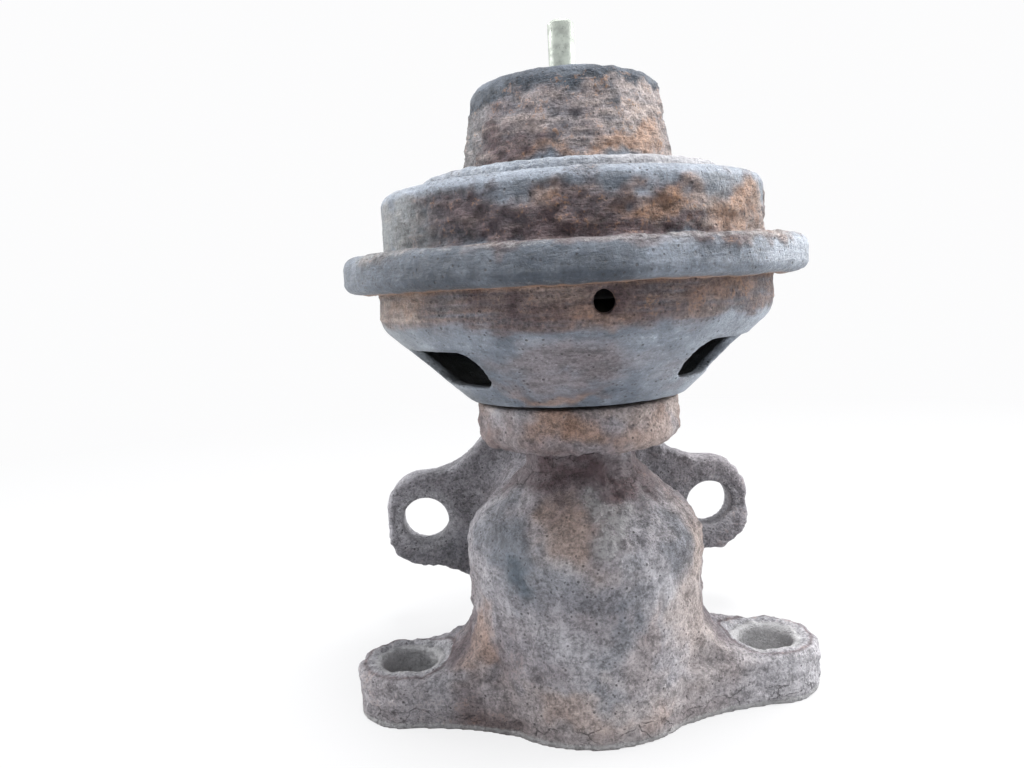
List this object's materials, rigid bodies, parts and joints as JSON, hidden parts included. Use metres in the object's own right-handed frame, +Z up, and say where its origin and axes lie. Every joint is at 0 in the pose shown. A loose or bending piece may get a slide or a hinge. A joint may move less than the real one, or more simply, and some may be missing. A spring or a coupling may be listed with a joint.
{
  "type": "egr valve",
  "caption": "Vacuum-operated exhaust gas recirculation valve: cast angle body with base and side flanges, poppet on a long stem, crimped diaphragm housing and top vacuum nipple.",
  "frame": {"origin": "stem axis in the mounting plane of the base flange, midway between its two bolt holes", "axes": "+Z up the valve stem towards the vacuum nipple, +Y square out of the side flange's face, +X along both flanges' bolt lines"},
  "size_m": [0.0756, 0.07, 0.107],
  "materials": {
    "cast_iron": "rough, rusted",
    "housing_paint": "worn paint over rust",
    "nipple_zinc": "dull zinc",
    "plated_steel": "dull plating",
    "stem_steel": "sooty steel",
    "seat_steel": "heat-stained steel",
    "spring_steel": "satin",
    "bush_bronze": "satin",
    "diaphragm_rubber": "matte",
    "seal_graphite": "matte",
    "gasket_sheet": "matte"
  },
  "bodies": {
    "valve_housing": {"body_casting": "cast_iron", "seat_ring": "seat_steel", "stem_bush": "bush_bronze", "stem_scraper": "stem_steel", "stem_seal": "seal_graphite", "seal_cap": "plated_steel", "housing_gasket": "gasket_sheet", "housing_retainer": "plated_steel", "lower_housing": "housing_paint", "upper_housing": "housing_paint", "vacuum_nipple": "nipple_zinc", "spring_seat": "plated_steel", "return_spring": "spring_steel", "diaphragm": "diaphragm_rubber"},
    "stem_assembly": {"valve_stem": "stem_steel", "valve_head": "seat_steel", "stem_deflector": "stem_steel", "piston_plate": "plated_steel", "support_plate": "plated_steel", "thrust_washer": "plated_steel", "clamp_washer": "plated_steel"}
  },
  "joints": [
    {"name": "valve_lift", "type": "slide", "parent": "valve_housing", "child": "stem_assembly", "axis": [0, 0, 1], "range_m": [0, 0.005], "stiffness_N_per_m": 4100, "springref_m": -0.0048, "deforming": ["return_spring", "diaphragm"]}
  ]
}
